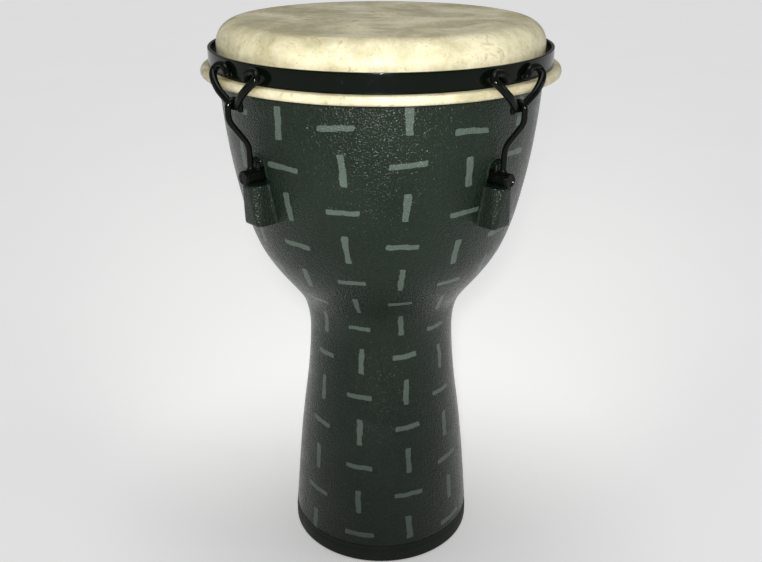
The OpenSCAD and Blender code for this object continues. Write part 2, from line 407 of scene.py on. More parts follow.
def dash_box(s, x, y, half_x, half_y, soft):
    """1 inside a soft-cornered box round the origin, 0 outside. All in mm."""
    corner = 1.3
    dx = s.math("MAXIMUM", s.math("SUBTRACT", s.math("ABSOLUTE", x), s.math("SUBTRACT", half_x, corner)), 0.0)
    dy = s.math("MAXIMUM", s.math("SUBTRACT", s.math("ABSOLUTE", y), s.math("SUBTRACT", half_y, corner)), 0.0)
    length = s.math("SQRT", s.math("ADD", s.math("MULTIPLY", dx, dx), s.math("MULTIPLY", dy, dy)))
    return s.step(length, corner + soft, corner - soft)


def spread(s, value, size):
    """A 0..1 random turned into -size..size."""
    return s.math("MULTIPLY_ADD", value, 2 * size, -size)


def print_mask(s):
    """A plain print of brushed dashes, upright and level by turns, on the cover's unrolled coordinates."""
    uv = s.node("ShaderNodeUVMap", uv_map="print").outputs[0]
    split = s.node("ShaderNodeSeparateXYZ")
    s.put(split.inputs[0], uv)
    u, v = split.outputs[0], split.outputs[1]
    wobble = s.node("ShaderNodeSeparateColor")
    s.put(wobble.inputs[0], s.noise(s.combine(u, s.math("MULTIPLY", v, 1.6)), 3.2, 2.0, 0.55, colour=True))
    u = s.math("ADD", u, s.math("MULTIPLY_ADD", wobble.outputs[0], 0.1, -0.05))
    v = s.math("ADD", v, s.math("MULTIPLY_ADD", wobble.outputs[1], 0.05, -0.025))
    column = s.math("FLOOR", u)
    drop = s.hashed(s.combine(column, 3.0, 11.0))
    odd = s.math("MULTIPLY", s.math("FLOORED_MODULO", s.math("ADD", column, 1.0), 2.0), 0.46)
    v = s.math("ADD", v, s.math("ADD", odd, s.math("MULTIPLY", drop[0], 0.16)))
    row = s.math("FLOOR", v)
    x = s.math("MULTIPLY", s.math("SUBTRACT", s.math("SUBTRACT", u, column), 0.5), CELL_WIDTH)
    y = s.math("MULTIPLY", s.math("SUBTRACT", s.math("SUBTRACT", v, row), 0.5), CELL_HEIGHT)
    lift = s.hashed(s.combine(column, row, 5.0))
    x = s.math("ADD", x, spread(s, lift[0], 0.8))
    y = s.math("ADD", y, spread(s, lift[1], 1.8))
    # Edges wander a little, as brushed paint does.
    fine = s.node("ShaderNodeSeparateColor")
    s.put(fine.inputs[0], s.noise(s.combine(u, v), 26.0, 2.0, 0.6, colour=True))
    xe = s.math("ADD", x, s.math("MULTIPLY_ADD", fine.outputs[0], 0.9, -0.45))
    ye = s.math("ADD", y, s.math("MULTIPLY_ADD", fine.outputs[1], 0.9, -0.45))

    # An upright dash in the upper half of each cell.
    h = s.hashed(s.combine(column, row, 21.0))
    above = s.math("SUBTRACT", ye, CELL_HEIGHT / 4)
    lean = s.math("MULTIPLY", above, spread(s, h[0], 0.07))
    upright = dash_box(
        s,
        s.math("ADD", xe, lean),
        above,
        s.math("MULTIPLY_ADD", h[2], 0.6, 2.75),
        s.math("MULTIPLY_ADD", h[1], -1.2, 14.8),
        0.22,
    )
    # A level dash in its lower half.
    h = s.hashed(s.combine(column, row, 31.0))
    below = s.math("ADD", ye, CELL_HEIGHT / 4)
    tilt = s.math("MULTIPLY", xe, spread(s, h[0], 0.09))
    level = dash_box(
        s,
        s.math("SUBTRACT", xe, spread(s, h[1], 2.5)),
        s.math("ADD", below, tilt),
        s.math("MULTIPLY_ADD", h[2], 1.6, 13.5),
        2.6,
        0.22,
    )
    mask = s.math("MAXIMUM", upright, level)
    cap = s.node("ShaderNodeSeparateColor")
    s.put(cap.inputs[0], s.node("ShaderNodeVertexColor", layer_name="plain").outputs["Color"])
    return s.math("MULTIPLY", mask, s.math("SUBTRACT", 1.0, cap.outputs[0])), cap.outputs[0]


def cloth_material():
    """Dark printed cloth under a thin clear coat, plainer on the boss caps."""
    s = Shader("printed_cloth")
    p = s.position()
    mask, cap = print_mask(s)
    broad = s.noise(p, 14.0, 4.0, 0.6)
    grain = s.noise(p, 900.0, 3.0, 0.6)
    dark = s.mix(s.step(broad, 0.3, 0.7), (0.0035, 0.0095, 0.0045), (0.0068, 0.0145, 0.008))
    dark = s.mix(s.step(grain, 0.4, 0.8, 0.0, 0.5), dark, (0.02, 0.03, 0.021))
    light = s.mix(s.step(broad, 0.3, 0.7), (0.068, 0.092, 0.075), (0.082, 0.11, 0.09))
    light = s.mix(s.step(grain, 0.4, 0.85, 0.0, 0.35), light, (0.036, 0.05, 0.04))
    colour = s.mix(mask, dark, light)
    colour = s.mix(s.math("MULTIPLY", cap, 0.35), colour, (0.01, 0.014, 0.011))
    roughness = s.step(s.noise(p, 60.0, 3.0), 0.3, 0.7, 0.19, 0.27)
    normal = s.bump(s.noise(p, 600.0, 1.0, 0.5), 1.0, 0.0013)
    normal = s.bump(s.cells(p, 700.0).outputs["Distance"], 0.12, 0.0006, normal)
    normal = s.bump(s.noise(p, 55.0, 3.0), 0.12, 0.002, normal)
    normal = s.bump(mask, 0.2, 0.00012, normal)
    return s.finish(colour, roughness, normal, Specular_IOR_Level=0.24)


def film_material():
    """Cream film with a generic cloudy mottle, veins and specks."""
    s = Shader("mottled_film")
    p = s.position()
    warp = s.noise(p, 9.0, 2.0, 0.5, colour=True)
    shift = s.node("ShaderNodeVectorMath", operation="MULTIPLY_ADD")
    s.put(shift.inputs[0], warp)
    shift.inputs[1].default_value = (0.05, 0.05, 0.02)
    s.put(shift.inputs[2], p)
    cloud = s.noise(shift.outputs[0], 22.0, 5.0, 0.62)
    vein = s.noise(shift.outputs[0], 75.0, 6.0, 0.7, distortion=1.2)
    speck = s.noise(p, 420.0, 2.0, 0.6)
    colour = s.mix(s.step(cloud, 0.32, 0.68), (0.4, 0.36, 0.21), (0.68, 0.625, 0.44))
    colour = s.mix(s.step(vein, 0.5, 0.7, 0.0, 0.6), colour, (0.66, 0.63, 0.48))
    colour = s.mix(s.step(vein, 0.46, 0.3, 0.0, 0.6), colour, (0.27, 0.225, 0.115))
    colour = s.mix(s.step(speck, 0.58, 0.75, 0.0, 0.55), colour, (0.3, 0.25, 0.13))
    roughness = s.step(cloud, 0.3, 0.7, 0.42, 0.56)
    normal = s.bump(vein, 0.1, 0.0006)
    normal = s.bump(s.noise(p, 800.0, 2.0, 0.5), 0.12, 0.0002, normal)
    subsurface = {"Subsurface_Weight": 0.12, "Subsurface_Scale": 0.004}
    return s.finish(colour, roughness, normal, Coat_Weight=0.06, **subsurface)


def gloss_black(name, base, roughness, wear):
    """Black paint on steel: faint orange peel and thin grey scuffs."""
    s = Shader(name)
    p = s.position()
    peel = s.noise(p, 420.0, 2.0, 0.5)
    scuff = s.noise(p, 90.0, 6.0, 0.75, distortion=0.6)
    colour = s.mix(s.step(scuff, 0.62, 0.78, 0.0, wear), base, (0.03, 0.034, 0.031))
    rough = s.step(scuff, 0.4, 0.8, roughness, roughness + 0.12)
    normal = s.bump(peel, 0.06, 0.0003)
    normal = s.bump(scuff, 0.05, 0.0003, normal)
    return s.finish(colour, rough, normal, Coat_Weight=0.08, Coat_Roughness=0.04, Specular_IOR_Level=0.1)


def rubber_material():
    """Black rubber with a little dust."""
    s = Shader("foot_rubber")
    p = s.position()
    dust = s.noise(p, 35.0, 5.0, 0.65)
    grain = s.noise(p, 1500.0, 2.0, 0.6)
    colour = s.mix(s.step(dust, 0.45, 0.75, 0.0, 0.55), (0.007, 0.012, 0.008), (0.018, 0.026, 0.02))
    rough = s.step(dust, 0.3, 0.7, 0.5, 0.66)
    normal = s.bump(grain, 0.3, 0.0002)
    normal = s.bump(dust, 0.08, 0.001, normal)
    return s.finish(colour, rough, normal, Specular_IOR_Level=0.2)


def bolt_material(name, base, metallic, roughness):
    """Plated or oxidised steel with fine turned lines and spots."""
    s = Shader(name)
    p = s.position()
    spots = s.noise(p, 260.0, 5.0, 0.7)
    streak = s.node("ShaderNodeMapping")
    s.put(streak.inputs["Vector"], p)
    streak.inputs["Scale"].default_value = (1.0, 1.0, 0.12)
    lines = s.noise(streak.outputs[0], 900.0, 3.0, 0.6)
    colour = s.mix(s.step(spots, 0.45, 0.7, 0.0, 0.6), base, tuple(min(1.0, c * 1.7 + 0.01) for c in base))
    rough = s.step(lines, 0.3, 0.7, roughness, roughness + 0.18)
    normal = s.bump(lines, 0.08, 0.0002)
    normal = s.bump(spots, 0.1, 0.0003, normal)
    return s.finish(colour, rough, normal, metallic=metallic)


def fibre_material():
    """Pressed fibre shell, seen inside and in the pockets."""
    s = Shader("pressed_fibre")
    p = s.position()
    flakes = s.cells(p, 240.0).outputs["Distance"]
    cloud = s.noise(p, 40.0, 6.0, 0.7)
    colour = s.mix(s.step(cloud, 0.3, 0.7), (0.007, 0.009, 0.0075), (0.016, 0.019, 0.016))
    colour = s.mix(s.step(flakes, 0.1, 0.6, 0.0, 0.5), colour, (0.012, 0.014, 0.012))
    rough = s.step(cloud, 0.3, 0.7, 0.55, 0.75)
    normal = s.bump(flakes, 0.2, 0.0006)
    normal = s.bump(cloud, 0.25, 0.0015, normal)
    return s.finish(colour, rough, normal)


def floor_material():
    """Pale paper that glows a little, to stay close to white."""
    s = Shader("floor_paper")
    p = s.position()
    colour = s.mix(s.noise(p, 3.0, 2.0), (0.86, 0.86, 0.86), (0.9, 0.9, 0.9))
    return s.finish(colour, 0.85, Emission_Color=(1.0, 1.0, 1.0, 1.0), Emission_Strength=0.22)


# ---------------------------------------------------------------- shell and cloth


def shell_radius(z):
    """The shell's outer radius (mm) at a height, on the outline's smooth curve."""
    if z >= OUTLINE[-1][0]:
        return RIM_RADIUS
    for (z0, r0, s0), (z1, r1, s1) in zip(OUTLINE, OUTLINE[1:]):
        if z <= z1:
            h = z1 - z0
            t = (z - z0) / h
            return (
                (2 * t**3 - 3 * t**2 + 1) * r0
                + (t**3 - 2 * t**2 + t) * h * s0
                + (3 * t**2 - 2 * t**3) * r1
                + (t**3 - t**2) * h * s1
            )
    return RIM_RADIUS


def smooth_step(x, low, high):
    """0 below low, 1 above high, and a smooth rise between."""
    t = min(max((x - low) / (high - low), 0.0), 1.0)
    return t * t * (3 - 2 * t)


def boss_radius(across, z):
    """Radius of the boss's skin at a distance across from its middle (mm at BOSS_ARC)."""
    turn = abs(across) / BOSS_ARC
    face = BOSS_FACE - BOSS_LEAN * (BOSS_TOP - z) / (BOSS_TOP - BOSS_BOTTOM)
    shell = shell_radius(z) + CLOTH
    middle, flat = BOSS_FACE - BOSS_ROUND, BOSS_HALF - BOSS_ROUND
    lead = middle + turn * flat
    inside = lead**2 - (1 + turn**2) * (middle**2 + flat**2 - BOSS_ROUND**2)
    if inside > 0.0:
        nose = (lead + math.sqrt(inside)) / (1 + turn**2) if turn * BOSS_FACE > flat else BOSS_FACE
        ease = 1.2
        mixed = min(max(0.5 + 0.5 * (nose - face) / ease, 0.0), 1.0)
        return nose + (face - nose) * mixed - ease * mixed * (1 - mixed)
    blend = 2.6
    edge = BOSS_HALF / (shell + blend)
    if turn <= edge:
        return min(BOSS_HALF / turn, middle)
    t = min((turn - edge) * BOSS_ARC / blend, 1.0)
    return shell + blend * (1 - math.sqrt(max(0.0, 1 - (1 - t) ** 2)))


def pocket_depth(across, z):
    """How far the pocket behind the barrel goes in, from 0 to 1."""
    rise = max(z - POCKET_ROUND_HEIGHT, 0.0)
    return 1.0 - smooth_step(math.hypot(across, rise), POCKET_HALF - 1.5, POCKET_HALF + 0.15)


def pocket_lip(across, z):
    """The cloth's raised edge round the pocket's top (mm)."""
    rise = max(z - POCKET_ROUND_HEIGHT, 0.0)
    away = math.hypot(across, rise) - POCKET_HALF - 1.6
    return 0.9 * math.exp(-((away / 1.1) ** 2)) * smooth_step(z, 431.0, 440.0)


def cover_lines():
    """Grid lines up the cover: (height, share of the boss, share of the pocket)."""
    lines = []
    z = CLOTH_BOTTOM
    while z < 387.0:
        lines.append((z, 0.0, 0.0))
        z += 6.2
    lines += [(388.2, 0.0, 0.0), (389.6, 0.0, 0.0), (390.4, 0.015, 0.0)]
    for i in range(1, 18):
        share = i / 18.0 * 0.92
        lines.append((BOSS_BOTTOM + 0.2 * share, share, 0.0))
    lines += [(391.15, 0.95, 0.0), (391.7, 0.975, 0.0), (392.5, 0.993, 0.0)]
    z = 394.0
    while z < 426.0:
        lines.append((z, 1.0, 0.0))
        z += 4.0
    lines += [(426.4, 1.0, 0.0), (427.3, 0.99, 0.0), (428.0, 0.965, 0.0)]
    lines += [(428.5, 0.93, 0.0), (428.75, 0.88, 0.0)]
    for share in (0.8, 0.65, 0.5, 0.35, 0.2, 0.1, 0.04):
        lines.append((BOSS_TOP + 0.2 * (1 - share), share, 0.0))
    lines += [(429.05, 0.015, 0.1), (429.15, 0.004, 0.4), (429.25, 0.0, 0.8), (429.5, 0.0, 1.0)]
    z = 430.0
    while z < 455.0:
        lines.append((z, 0.0, 1.0))
        z += 1.1 if z < 443.0 else 0.62
    lines += [(455.7, 0.0, 0.0), (456.6, 0.0, 0.0), (457.6, 0.0, 0.0)]
    z = 459.5
    while z < CLOTH_TOP - 1:
        lines.append((z, 0.0, 0.0))
        z += 5.4
    lines.append((CLOTH_TOP, 0.0, 0.0))
    return lines


def cover_angles():
    """Grid lines round the cover, in degrees from the back, with each boss's own offset (mm)."""
    near = [0.0, 1.5, 3.0, 4.2, 5.0, 5.6, 6.2, 6.7, 7.1, 7.5, 7.9, 8.3, 8.7, 9.1, 9.5, 9.9, 10.2, 10.5, 10.7]
    near += [10.85, 10.95, 11.05, 11.2, 11.4, 11.65, 11.95, 12.3, 12.7, 13.2, 13.8, 14.6, 16.0, 18.0]
    offsets = sorted({-a for a in near} | set(near))
    angles = []
    for centre in STATIONS.values():
        for a in offsets:
            angles.append((centre + math.degrees(a / BOSS_ARC), a))
    edge = math.degrees(18.0 / BOSS_ARC)
    for start in STATIONS.values():
        low, high = start + edge, start + 90.0 - edge
        count = 18
        for i in range(1, count):
            angles.append((low + (high - low) * i / count, None))
    # The back is at a polar angle of 90 degrees.
    out = []
    for degree, offset in angles:
        turned = (degree - 90.0) % 360.0
        out.append((turned, offset))
    out.sort(key=lambda item: item[0])
    return out


def column_pitch(z):
    """Degrees per print column, and the print's turn, at a height. Fewer columns fit round the stem."""
    share = smooth_step(z, 215.0, 350.0)
    return 34.0 + (21.8 - 34.0) * share, -0.12 * (1 - share)


def print_column(degree, middle, pitch):
    """The print column at an angle from the front. Front and back are separate lengths of cloth."""
    if abs(middle) <= 90.0:
        return degree / pitch
    return (degree - math.copysign(180.0, middle)) / pitch + 41.0


def cover_ring(z, share, pocket, angles):
    """The cover's outer radii (mm) round one grid line, with its bosses, pockets and side laps."""
    base = shell_radius(z) + CLOTH
    ring = []
    for turned, offset in angles:
        r = base
        if offset is not None:
            across = offset * base / BOSS_ARC
            if share > 0:
                r = base + (boss_radius(offset, z) - base) * share
            if pocket > 0:
                r = r - (r - POCKET_FLOOR) * pocket_depth(across, z) * pocket
            if 430.0 < z < 462.0:
                r += pocket_lip(across, z)
        seam = min(abs(turned - 90.0), abs(turned - 270.0)) * math.pi / 180.0 * base
        r += 0.4 * (1.0 - smooth_step(seam, 4.0, 6.5))
        ring.append(r)
    return ring


def in_key_well(point):
    """Whether a point of the cover (m) lies over a key well."""
    for polar in STATIONS.values():
        turn = math.radians(polar)
        x, y = BOLT_OFFSET * MM * math.cos(turn), BOLT_OFFSET * MM * math.sin(turn)
        if (point - Vector((x, y, point.z))).length < (WELL_RADIUS - 0.1) * MM:
            return True
    return False


def cover_mesh(material):
    """The cloth as a thin double skin on a polar grid, with the print's own coordinates."""
    lines = cover_lines()
    angles = cover_angles()
    count = len(angles)
    outer = []
    arc = 0.0
    lengths = []
    for i, (z, share, pocket) in enumerate(lines):
        if i:
            arc += math.hypot(z - lines[i - 1][0], shell_radius(z) - shell_radius(lines[i - 1][0]))
        lengths.append(arc)
        outer.append(cover_ring(z, share, pocket, angles))
    verts = []
    for layer in (0.0, CLOTH * 0.9):
        for (z, _, _), ring in zip(lines, outer):
            for (turned, _), r in zip(angles, ring):
                a = math.radians(turned + 90.0)
                verts.append(((r - layer) * math.cos(a) * MM, (r - layer) * math.sin(a) * MM, z * MM))
    rows = len(lines)
    inner_base = rows * count
    faces, uvs = [], []
    for i in range(rows - 1):
        for j in range(count):
            k = (j + 1) % count
            quad = (i * count + j, i * count + k, (i + 1) * count + k, (i + 1) * count + j)
            offset = angles[j][1]
            if offset is not None and 0.0 < lines[i][1] < 0.92 and lines[i][0] < 391.0:
                centre = sum((Vector(verts[q]) for q in quad), Vector()) / 4.0
                if in_key_well(centre):
                    continue
            for base, flip in ((0, False), (inner_base, True)):
                ids = tuple(q + base for q in quad)
                corners = []
                middle = (angles[j][0] + angles[k][0] + (360.0 if k == 0 else 0.0)) / 2.0 - 180.0
                for row, col in ((i, j), (i, j + 1), (i + 1, j + 1), (i + 1, j)):
                    z = lines[row][0]
                    pitch, turn = column_pitch(z)
                    degree = angles[col % count][0] + (360.0 if col == count else 0.0) - 180.0
                    corners.append((print_column(degree, middle, pitch) + turn, lengths[row] / CELL_HEIGHT))
                if flip:
                    ids, corners = ids[::-1], corners[::-1]
                faces.append(ids)
                uvs += corners
    for row in (0, rows - 1):
        for j in range(count):
            k = (j + 1) % count
            a, b = row * count + j, row * count + k
            rim = (a, a + inner_base, b + inner_base, b)
            faces.append(rim if row == 0 else rim[::-1])
            uvs += [(0.5, 0.03)] * 4
    obj = new_object("print_cover_skin", verts, faces, material, sharp=65.0, uvs=uvs)
    # The print stops at the bosses' plain moulded caps.
    plain = np.zeros((len(verts), 4), np.float32)
    for layer in range(2):
        for i, (_, share, _) in enumerate(lines):
            for j, (_, offset) in enumerate(angles):
                if offset is not None and share > 0.02:
                    index = layer * rows * count + i * count + j
                    plain[index, 0] = 1.0 - smooth_step(abs(offset), 12.3, 13.0)
    attribute = obj.data.color_attributes.new("plain", "FLOAT_COLOR", "POINT")
    attribute.data.foreach_set("color", plain.ravel())
    return finish_piece(obj, "drum", "print_cloth", "print_cover")


def well_rims(material):
    """The turned edge of the cloth round each key well under a boss."""
    parts = []
    for name in STATIONS:
        profile = arc_points(WELL_RADIUS + 0.25, 390.85, 0.8, 0, 340, 16)
        matrix = station_matrix(name) @ Matrix.Translation((BOLT_OFFSET * MM, 0, 0))
        parts.append(lathe_part(profile, 40, matrix))
    verts, faces = joined(*parts)
    obj = new_object("well_hems", verts, faces, material)
    return finish_piece(obj, "drum", "print_cloth")


# ---------------------------------------------------------------- head, hoop, foot


def head_profile():
    """The head's outer and inner (radius, height) lines, from the wrapped ring to the middle."""
    collar, film, top, bend = 153.7, 0.8, HEAD_UNDER, 20.1
    outer = arc_points(166.5, 514.7, 3.7, -90, 0, 8)
    outer += arc_points(166.5, 515.6, 3.6, 0, 90, 8)
    outer += [(163.0, FLESH_TOP), (159.0, 519.25), (157.4, 519.45), (156.2, 519.9)]
    outer += [(155.3, 520.8), (154.8, 522.0), (154.5, 524.0)]
    outer += [(154.5, 529.0), (154.5, 534.0)]
    outer += arc_points(collar - bend, top - bend, bend + film, 0, 90, 22)
    flat = (120.0, 100.0, 75.0, 45.0, 15.0, 0.0)
    outer += [(radius, HEAD_TOP) for radius in flat]
    inner = [(radius, HEAD_UNDER) for radius in flat[::-1]]
    inner += arc_points(collar - bend, top - bend, bend, 90, 0, 22)
    inner += [(153.7, 530.0), (153.7, 522.0), (154.4, 519.8), (157.4, 518.4), (166.5, 518.35)]
    inner += arc_points(166.5, 515.6, 2.8, 90, 0, 8)[1:]
    inner += arc_points(166.5, 514.7, 2.9, 0, -90, 8)
    inner += [(160.0, 511.8), (160.0, 511.0)]
    return outer, inner


def head_mesh(material):
    """The formed film with its wrapped ring, which ripples a little."""
    outer, inner = head_profile()
    axis_row = [p for p in outer if p[0] > 0]
    inner_row = [p for p in inner if p[0] > 0]
    count = 240

    def ripple(angle, radius, height):
        if height > 523.0:
            return 0.0
        share = smooth_step(523.0 - height, 0.0, 8.0) * smooth_step(radius, 156.0, 166.0)
        slow = 0.16 * math.sin(17 * angle + 0.6) + 0.12 * math.sin(41 * angle + 2.0)
        return share * (slow + 0.08 * math.sin(83 * angle))

    verts, faces = [], []
    path = axis_row + inner_row
    rows = len(path)
    for i in range(count):
        angle = 2 * math.pi * i / count
        for radius, height in path:
            r = radius + ripple(angle, radius, height)
            verts.append((r * math.cos(angle) * MM, r * math.sin(angle) * MM, height * MM))
    split = len(axis_row) - 1
    for i in range(count):
        j = (i + 1) % count
        for k in range(rows):
            if k == split:
                continue
            m = (k + 1) % rows
            faces.append((i * rows + k, j * rows + k, j * rows + m, i * rows + m))
    top_centre, low_centre = len(verts), len(verts) + 1
    verts += [(0, 0, HEAD_TOP * MM), (0, 0, HEAD_UNDER * MM)]
    for i in range(count):
        j = (i + 1) % count
        faces.append((i * rows + split, j * rows + split, top_centre))
        faces.append((j * rows + split + 1, i * rows + split + 1, low_centre))
    obj = new_object("head_skin", verts, faces, material, sharp=50.0)
    return finish_piece(obj, "head", "head_film", "head_film")


def hoop_mesh(material):
    """The flat steel band with eased edges."""
    low, high, out, inn, edge = 519.3, 536.6, HOOP_RADIUS, 159.5, 0.7
    profile = arc_points(out - edge, low + edge, edge, -90, 0, 4)
    profile += [(out, low + 6.0), (out, high - 6.0)]
    profile += arc_points(out - edge, high - edge, edge, 0, 90, 4)
    profile += arc_points(inn + edge, high - edge, edge, 90, 180, 4)
    profile += arc_points(inn + edge, low + edge, edge, 180, 270, 4)

    def weld(angle, radius, _height):
        # The band's butt weld at the back, ground nearly flush.
        gap = abs((angle - math.radians(90.0) + math.pi) % (2 * math.pi) - math.pi) * HOOP_RADIUS
        return (0.35 if radius > 161 else -0.2) * (1 - smooth_step(gap, 0.8, 2.2))

    verts, faces = lathe_rows(profile, 360, weld)
    obj = new_object("counter_hoop_band", verts, faces, material, sharp=40.0)
    return finish_piece(obj, "tension_rim", "gloss_black", "counter_hoop")


def foot_mesh(material):
    """The rubber ring under the foot, with a moulded groove."""
    profile = [(88.3, 0.0), (94.0, 0.0)]
    profile += arc_points(95.8, 2.2, 2.2, -90, 0, 6)
    profile += [(98.0, 6.0), (98.0, 11.0), (97.8, 13.6)]
    profile += arc_points(97.2, 15.1, 0.5, 60, -60, 3)[::-1]
    profile += [(97.5, 17.0), (97.35, 18.9)]
    profile += arc_points(96.4, 19.0, 0.95, 10, 90, 5)
    profile += [(95.3, 19.7), (94.25, 19.6), (94.25, 4.1), (88.3, 4.1)]
    profile += arc_points(88.8, 3.0, 0.8, 150, 210, 3)
    verts, faces = lathe_rows(profile, 240)
    obj = new_object("foot_ring_rubber", verts, faces, material, sharp=45.0)
    return finish_piece(obj, "drum", "foot_rubber", "foot_ring")


# ---------------------------------------------------------------- tuning hardware

HOOK_ROD = 3.4
DRAW_ROD = 2.75
POINT_RADIUS, POINT_HEIGHT = 170.0, 499.5
PASS_RADIUS = 174.0
SPREAD = 31.0
LEG_RADIUS = 157.0
JOG_START, JOG_ANGLE = 464.0, math.radians(38.0)
BARREL_HEIGHT, BARREL_RADIUS, BARREL_IN, BARREL_OUT = 436.0, 6.4, 141.0, 166.0
BOLT_RADIUS, BOLT_TIP, BOLT_SEAT = 3.0, 447.5, 403.5
THREAD_PITCH, THREAD_DEPTH = 1.0, 0.42


def hook_arm(side):
    """One arm of a V hook, from its lower end, out round the head's ring and in to the hoop."""
    face = HOOP_RADIUS + HOOK_ROD
    lift = FLESH_TOP + HOOK_ROD
    return [
        around(PASS_RADIUS, side * 16.5, 512.0),
        around(PASS_RADIUS, side * (SPREAD - 7), 518.6),
        around(PASS_RADIUS - 1.4, side * (SPREAD - 1.8), lift + 1),
        around(PASS_RADIUS - 4, side * SPREAD, lift + 4.4),
        around(face + 1.5, side * (SPREAD - 3), lift + 8),
        around(face + 0.1, side * (SPREAD - 9), lift + 9),
        around(face + 0.1, side * (SPREAD - 15), lift + 7),
        around(face + 0.1, side * (SPREAD - 18), lift + 1.5),
    ]


def weld_bead(centre, size, seed):
    """A lumpy, flattened bead (mm) that sits on the hoop's face."""
    verts, faces = [], []
    rows, cols = 8, 14
    for i in range(1, rows):
        polar = math.pi * i / rows
        for j in range(cols):
            turn = 2 * math.pi * j / cols
            lump = 1.0 + 0.1 * math.sin(3 * turn + seed) * math.sin(2 * polar + seed * 0.7)
            across, up = math.sin(polar) * math.cos(turn), math.sin(polar) * math.sin(turn)
            d = Vector((math.cos(polar) * size[0], across * size[1], up * size[2]))
            verts.append(tuple((centre + d * lump) * MM))
    for i in range(rows - 2):
        for j in range(cols):
            k = (j + 1) % cols
            faces.append((i * cols + j, i * cols + k, (i + 1) * cols + k, (i + 1) * cols + j))
    faces.append(tuple(range(cols))[::-1])
    faces.append(tuple((rows - 2) * cols + j for j in range(cols)))
    return verts, faces


def hook_mesh(name, material):
    """A V hook with its weld beads on the hoop."""
    left, right = hook_arm(-1), hook_arm(1)
    bend = [around(POINT_RADIUS + 0.4, -4.46, 501.49), around(POINT_RADIUS, -2.54, 500.06)]
    bend.append(around(POINT_RADIUS, 0, POINT_HEIGHT))
    bend += [around(POINT_RADIUS, 2.54, 500.06), around(POINT_RADIUS + 0.4, 4.46, 501.49)]
    path = round_path(left[::-1] + bend + right, 3.2, 7)
    parts = [tube(path, HOOK_ROD, 24)]
    for side, seed in ((-1, 0.4), (1, 1.9)):
        end = around(HOOP_RADIUS + 1.2, side * (SPREAD - 18.6), 524.0)
        mid = around(HOOP_RADIUS + 1.0, side * (SPREAD - 12), 529.2)
        parts.append(weld_bead(end, (1.9, 3.4, 2.6), seed))
        parts.append(weld_bead(mid, (1.7, 3.6, 2.2), seed + 1.0))
    verts, faces = moved(joined(*parts), station_matrix(name))
    obj = new_object(f"v_hook_rod_{name}", verts, faces, material, sharp=55.0)
    return finish_piece(obj, "tension_rim", "rod_black", f"v_hook_{name}")


def draw_rod_mesh(name, material):
    """A rod that crooks over the V hook's point and runs down to the barrel nut."""
    crook = HOOK_ROD + DRAW_ROD + 0.05
    outer, leg = POINT_RADIUS + crook, LEG_RADIUS
    jog_end = JOG_START + (outer - leg) / math.tan(JOG_ANGLE)
    path = [Vector((POINT_RADIUS - crook, 0, POINT_HEIGHT - 4.0))]
    path.append(Vector((POINT_RADIUS - crook, 0, POINT_HEIGHT)))
    for i in range(1, 12):
        a = math.radians(180 - 15 * i)
        path.append(Vector((POINT_RADIUS + crook * math.cos(a), 0, POINT_HEIGHT + crook * math.sin(a))))
    path.append(Vector((outer, 0, POINT_HEIGHT)))
    jog = [(outer, 0, POINT_HEIGHT - 1.0), (outer, 0, jog_end), (leg, 0, JOG_START), (leg, 0, BARREL_HEIGHT)]
    lower = round_path(jog, 7.0, 12)
    parts = [tube(path + lower, DRAW_ROD, 24)]
    # The fillet where the rod enters the barrel.
    fillet = [(2.6, 441.8), (3.9, 442.0), (3.5, 442.9), (3.0, 443.6), (2.74, 444.6), (2.6, 444.6)]
    parts.append(lathe_part(fillet, 28, Matrix.Translation((leg * MM, 0, 0))))
    verts, faces = moved(joined(*parts), station_matrix(name))
    obj = new_object(f"draw_rod_bar_{name}", verts, faces, material, sharp=55.0)
    return finish_piece(obj, "tension_rim", "rod_black", f"draw_rod_{name}")


